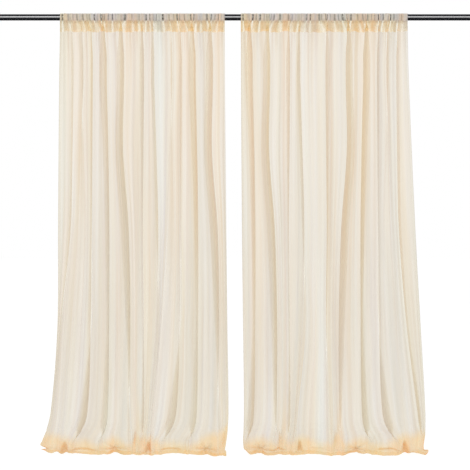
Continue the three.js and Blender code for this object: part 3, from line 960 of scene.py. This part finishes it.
def cloth_material():
    """Sheer chiffon: how much light it stops and its tone run in soft streaks along the warp."""
    material, tree = new_material("sheer_chiffon")
    add = node_adder(tree)
    place = add("UVMap", {"uv_map": "cloth"}).outputs["UV"]

    def streaks(across, down, detail, seed):
        stretched = add("Mapping", Vector=place, Location=(seed, seed, 0), Scale=(across, down, 1))
        vector = stretched.outputs["Vector"]
        return add("TexNoise", Vector=vector, Scale=1.0, Detail=detail, Roughness=0.62).outputs["Fac"]

    def threads(direction):
        wave = add("TexWave", {"bands_direction": direction}, Vector=place, Scale=WEAVE_SCALE)
        return wave.outputs["Fac"]

    cover = add("Attribute", {"attribute_name": "cover"}).outputs["Fac"]
    look = add("Attribute", {"attribute_name": "tone"})
    tone, streaky = look.outputs["Color"], look.outputs["Alpha"]
    slubs = streaks(*SLUBS)

    gain = spread(add, streaks(*THICK_STREAKS), STREAK_SPAN, STREAK_GAIN)
    calm = add("Mix", i0=streaky, i2=1.0, i3=gain).outputs["Result"]
    grain = spread(add, slubs, STREAK_SPAN, SLUB_GAIN)
    stopped = calculated(add, "MULTIPLY", cover, calculated(add, "MULTIPLY", calm, grain), clamped=True)

    warmth = spread(add, streaks(*WARM_STREAKS), WARM_SPAN)
    plain = blend(add, warmth, tinted(add, tone, PALE_TINT), tinted(add, tone, PEACH_TINT))
    hue = blend(add, spread(add, streaks(*ROSY_STREAKS), ROSY_SPAN), ROSY_TINT, YELLOW_TINT)
    colour = tinted(add, plain, hue)

    crepe = calculated(add, "ADD", calculated(add, "ADD", threads("X"), threads("Y")), slubs)
    relief = add("Bump", Strength=0.35, Distance=WEAVE_RELIEF, Height=crepe).outputs["Normal"]

    surface = add("BsdfPrincipled", Roughness=0.85, Normal=relief)
    surface.inputs["Specular IOR Level"].default_value = 0.15
    surface.inputs["Sheen Weight"].default_value = 0.15
    surface.inputs["Sheen Roughness"].default_value = 0.5
    tree.links.new(colour, surface.inputs["Base Color"])
    glow = add("BsdfTranslucent", Color=colour, Normal=relief)
    body = add("MixShader", Fac=0.5, i1=surface.outputs["BSDF"], i2=glow.outputs["BSDF"])
    clear = add("BsdfTransparent", Color=blend(add, stopped, WHITE, SIFTED_LIGHT))
    sheer = add("MixShader", Fac=stopped, i1=clear.outputs["BSDF"], i2=body.outputs["Shader"])
    add("OutputMaterial", Surface=sheer.outputs["Shader"])
    return material


# The thread's colours, its twist's scale and its relief in metres
CREAM = (0.97, 0.88, 0.74, 1)
SOILED_CREAM = (0.9, 0.78, 0.6, 1)
TWIST_SCALE = 1200.0
TWIST_RELIEF = 0.0001


def thread_material():
    """Cream sewing thread, its twist in the bump and a little soil in the colour."""
    material, tree = new_material("cream_thread")
    add = node_adder(tree)
    place = add("TexCoord").outputs["Object"]
    twist = add("TexWave", {"bands_direction": "DIAGONAL"}, Vector=place, Scale=TWIST_SCALE).outputs["Fac"]
    soil = add("TexNoise", Vector=place, Scale=40.0, Detail=3.0).outputs["Fac"]
    relief = add("Bump", Strength=0.4, Distance=TWIST_RELIEF, Height=twist).outputs["Normal"]
    surface = add("BsdfPrincipled", Roughness=0.6, Normal=relief)
    tree.links.new(blend(add, soil, SOILED_CREAM, CREAM), surface.inputs["Base Color"])
    add("OutputMaterial", Surface=surface.outputs["BSDF"])
    return material


# The rod's enamel and dust, and its wear, which sets in this far from the middle, in metres
ENAMEL = (0.004, 0.004, 0.006, 1)
DUST = (0.012, 0.012, 0.013, 1)
BARE_STEEL = (0.3, 0.29, 0.28, 1)
WORN_FROM = (1.2085, 1.2125)
WEAR_RAGGED = 0.02
PEEL_RELIEF = 0.00005
DUST_SPAN = (0.35, 0.7)
DUSTY_ROUGHNESS = (0.15, 0.3)


def rod_material():
    """Gloss black enamel with faint dust, orange peel and ends rubbed to bare steel."""
    material, tree = new_material("black_enamel")
    add = node_adder(tree)
    place = add("TexCoord").outputs["Object"]
    dust = add("TexNoise", Vector=place, Scale=60.0, Detail=5.0, Roughness=0.65).outputs["Fac"]
    peel = add("TexNoise", Vector=place, Scale=900.0, Detail=2.0).outputs["Fac"]
    distance = calculated(add, "ABSOLUTE", add("SeparateXYZ", Vector=place).outputs["X"])
    worn = spread(add, calculated(add, "MULTIPLY_ADD", dust, WEAR_RAGGED, distance), WORN_FROM)
    colour = blend(add, worn, blend(add, dust, ENAMEL, DUST), BARE_STEEL)
    relief = add("Bump", Strength=0.25, Distance=PEEL_RELIEF, Height=peel).outputs["Normal"]
    gloss = spread(add, dust, DUST_SPAN, DUSTY_ROUGHNESS)
    surface = add("BsdfPrincipled", Metallic=worn, Roughness=gloss, Normal=relief)
    surface.inputs["Coat Weight"].default_value = 1.0
    surface.inputs["Coat Roughness"].default_value = 0.12
    tree.links.new(colour, surface.inputs["Base Color"])
    add("OutputMaterial", Surface=surface.outputs["BSDF"])
    return material


# The rod's tube: its rims' roundings, how far in its bore is built, and its rings' distances from
# each end
ROD_SIDES = 96
OUTER_RIM = 0.5
INNER_RIM = 0.4
BORE_DEPTH = 60
ROD_RINGS = (2, 6, 150, 450, 800)


def make_rod(material):
    """An open tube with rounded rims, round enough to look round."""
    half = ROD_LENGTH / 2
    bore = ROD_RADIUS - ROD_WALL
    profile = [
        (half - BORE_DEPTH, bore),
        (half - INNER_RIM, bore),
        (half, bore + INNER_RIM),
        (half, ROD_RADIUS - OUTER_RIM),
        (half - OUTER_RIM, ROD_RADIUS),
        *((half - inset, ROD_RADIUS) for inset in ROD_RINGS),
    ]
    profile = profile + [(-x, radius) for x, radius in reversed(profile)]
    turns = np.linspace(0, 2 * math.pi, ROD_SIDES, endpoint=False)
    points = [(x, radius * math.sin(t), radius * math.cos(t)) for x, radius in profile for t in turns]
    faces = []
    for ring in range(len(profile) - 1):
        here, there = ring * ROD_SIDES, (ring + 1) * ROD_SIDES
        for k in range(ROD_SIDES):
            after = (k + 1) % ROD_SIDES
            faces.append((here + k, here + after, there + after, there + k))
    return mesh_object("rod_tube", points, faces, material)


# Stage: floor, light and camera. Each light has its place and target in metres, its size and power.
FLOOR_SIZE = 60000
FLOOR_COLOUR = (0.25, 0.25, 0.25, 1)
FLOOR_GLOW = 0.86
WORLD_LIGHT = 0.7
KEY_LIGHT = ((-1.6, -3.2, 0.9), (0, 0, -0.9), (1.6, 1.6), 13)
TOP_LIGHT = ((0, -3.3, 0.9), (0, 0, -0.4), (4.4, 0.8), 36)
ROD_HIGHLIGHT = ((0, -2.4, 0.1), (0, 0, 0), (5.0, 2.0), 170)
SENSOR_WIDTH = 36


def make_floor():
    material, tree = new_material("pale_floor")
    add = node_adder(tree)
    surface = add("BsdfPrincipled", Roughness=0.9)
    surface.inputs["Base Color"].default_value = FLOOR_COLOUR
    surface.inputs["Emission Color"].default_value = WHITE
    surface.inputs["Emission Strength"].default_value = FLOOR_GLOW
    add("OutputMaterial", Surface=surface.outputs["BSDF"])
    half = FLOOR_SIZE / 2
    corners = [(-half, -half), (half, -half), (half, half), (-half, half)]
    points = [(x, y, -FLOOR_DROP) for x, y in corners]
    floor = mesh_object("floor", points, [(0, 1, 2, 3)], material)
    floor.visible_diffuse = False
    floor.visible_transmission = False
    floor.visible_glossy = False
    return floor


def light_world(scene):
    """White where the camera sees it, and softer as light."""
    world = bpy.data.worlds.new("studio")
    scene.world = world
    world.use_nodes = True
    world.cycles_visibility.glossy = False
    nodes, links = world.node_tree.nodes, world.node_tree.links
    backdrop = nodes["Background"]
    backdrop.inputs["Color"].default_value = WHITE
    seen = nodes.new("ShaderNodeLightPath")
    strength = nodes.new("ShaderNodeMix")
    strength.inputs["A"].default_value = WORLD_LIGHT
    strength.inputs["B"].default_value = 1.0
    links.new(seen.outputs["Is Camera Ray"], strength.inputs["Factor"])
    links.new(strength.outputs["Result"], backdrop.inputs["Strength"])


def area_light(name, location, target, size, power):
    data = bpy.data.lights.new(name, "AREA")
    data.shape = "RECTANGLE"
    data.size, data.size_y = size
    data.energy = power
    light = bpy.data.objects.new(name, data)
    light.location = location
    direction = np.array(target, float) - np.array(location, float)
    light.rotation_euler = Vector(direction).to_track_quat("-Z", "Y").to_euler()
    bpy.context.collection.objects.link(light)
    return light


sheer = cloth_material()
thread = thread_material()
rod = make_rod(rod_material())
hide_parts("rod")
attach(rod, "root")
for panel in (with_shares(LEFT_PANEL), with_shares(RIGHT_PANEL)):
    curtain, stitches = make_curtain(panel, sheer, thread)
    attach(stitches, "root")
    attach(curtain, "root")
    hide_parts(panel["name"])

make_floor()
scene = bpy.context.scene
light_world(scene)
area_light("key", *KEY_LIGHT)
area_light("top", *TOP_LIGHT)
highlight = area_light("rod_highlight", *ROD_HIGHLIGHT)
highlight.visible_camera = False
shiny = bpy.data.collections.new("shiny")
shiny.objects.link(rod)
highlight.light_linking.receiver_collection = shiny

scene.view_settings.view_transform = "Standard"
scene.view_settings.look = "None"
scene.cycles.transparent_max_bounces = 48
scene.cycles.max_bounces = 14
scene.cycles.diffuse_bounces = 8
scene.cycles.transmission_bounces = 10

camera_data = bpy.data.cameras.new("camera")
camera_data.sensor_width = SENSOR_WIDTH
camera_data.lens = SENSOR_WIDTH * CAMERA_DISTANCE / VIEW_WIDTH
camera = bpy.data.objects.new("camera", camera_data)
camera.location = (CAMERA_X * MM, -CAMERA_DISTANCE * MM, CAMERA_HEIGHT * MM)
camera.rotation_euler = (math.pi / 2, 0, 0)
bpy.context.collection.objects.link(camera)
scene.camera = camera
